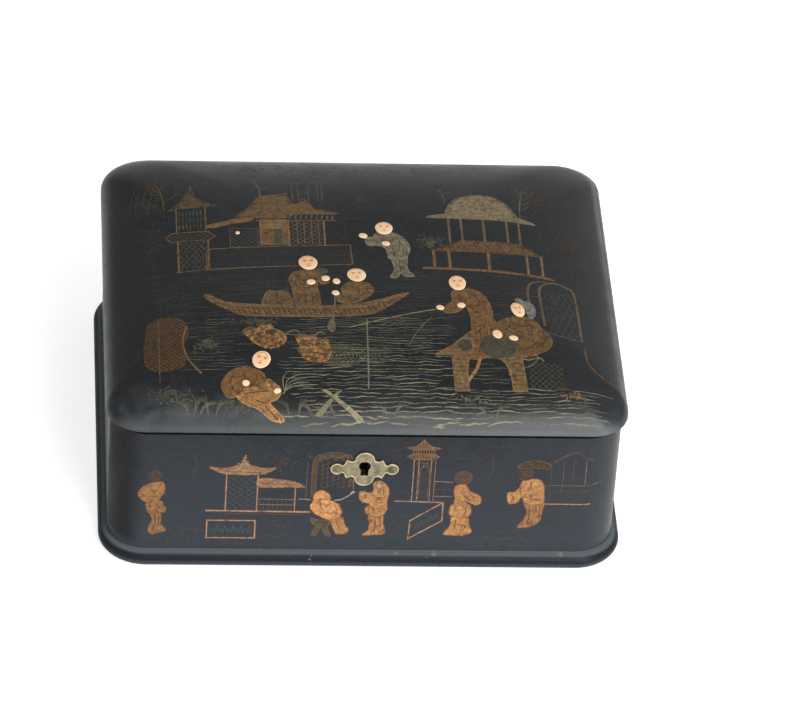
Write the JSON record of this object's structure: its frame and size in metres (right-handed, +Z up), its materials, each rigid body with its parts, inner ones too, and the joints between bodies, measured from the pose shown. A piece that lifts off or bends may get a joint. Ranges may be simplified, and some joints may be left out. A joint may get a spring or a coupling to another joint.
{
  "type": "lacquer box",
  "caption": "Rectangular lacquered wooden box with rounded corners, a hinged domed lid, a beaded base, a keyhole plate and a sliding link-plate lock.",
  "frame": {"origin": "centre of the base's outline, on the surface the box stands on", "axes": "+X to the right of someone facing the keyhole, -Y towards that person, +Z up"},
  "size_m": [0.304, 0.254, 0.1289],
  "materials": {
    "lacquer_body": "black lacquer over wood, glossy with fine wear, traces of gilt",
    "lacquer_lid": "black lacquer over wood, glossy with fine wear, gilt scenes",
    "lacquer_base": "black lacquer over wood, worn along the bead",
    "bone": "polished bone with fine engraved lines",
    "pale_brass": "tarnished pale brass",
    "yellow_brass": "dulled yellow brass",
    "steel": "darkened steel"
  },
  "bodies": {
    "box": {"base_board": "lacquer_base", "front_board": "lacquer_body", "rear_board": "lacquer_body", "left_board": "lacquer_body", "right_board": "lacquer_body", "corner_post_front_left": "lacquer_body", "corner_post_front_right": "lacquer_body", "corner_post_rear_left": "lacquer_body", "corner_post_rear_right": "lacquer_body", "hinge_left_body_leaf": "yellow_brass", "hinge_left_body_screw_1": "steel", "hinge_left_body_screw_2": "steel", "hinge_left_pin": "steel", "hinge_right_body_leaf": "yellow_brass", "hinge_right_body_screw_1": "steel", "hinge_right_body_screw_2": "steel", "hinge_right_pin": "steel", "lock_plate": "yellow_brass", "lock_case": "yellow_brass", "lock_screw_1": "steel", "lock_screw_2": "steel", "lock_screw_3": "steel", "lock_screw_4": "steel", "escutcheon": "pale_brass", "escutcheon_tack_left": "pale_brass", "escutcheon_tack_right": "pale_brass"},
    "lid": {"lid_panel": "lacquer_lid", "lid_front_rail": "lacquer_lid", "lid_rear_rail": "lacquer_lid", "lid_left_rail": "lacquer_lid", "lid_right_rail": "lacquer_lid", "face_standing": "bone", "face_boatman": "bone", "face_rower": "bone", "face_angler": "bone", "face_seated": "bone", "face_resting": "bone", "hand_standing_left": "bone", "hand_standing_right": "bone", "hand_boatman_left": "bone", "hand_boatman_right": "bone", "hand_rower_upper": "bone", "hand_rower_lower": "bone", "hand_angler_rod": "bone", "hand_angler_sleeve": "bone", "hand_seated_left": "bone", "hand_seated_right": "bone", "hand_resting_left": "bone", "hand_resting_right": "bone", "hinge_left_lid_leaf": "yellow_brass", "hinge_left_lid_screw_1": "steel", "hinge_left_lid_screw_2": "steel", "hinge_right_lid_leaf": "yellow_brass", "hinge_right_lid_screw_1": "steel", "hinge_right_lid_screw_2": "steel", "link_plate": "yellow_brass", "link_screw_1": "steel", "link_screw_2": "steel"},
    "bolt": {"lock_bolt": "steel", "bolt_spring": "steel"}
  },
  "joints": [
    {"name": "lid_hinge", "type": "hinge", "parent": "box", "child": "lid", "pos_m": [0, 0.1225, 0.09875], "axis": [-1, 0, 0], "range_deg": [0, 100]},
    {"name": "bolt_slide", "type": "slide", "parent": "box", "child": "bolt", "axis": [1, 0, 0], "range_m": [0, 0.004]}
  ]
}
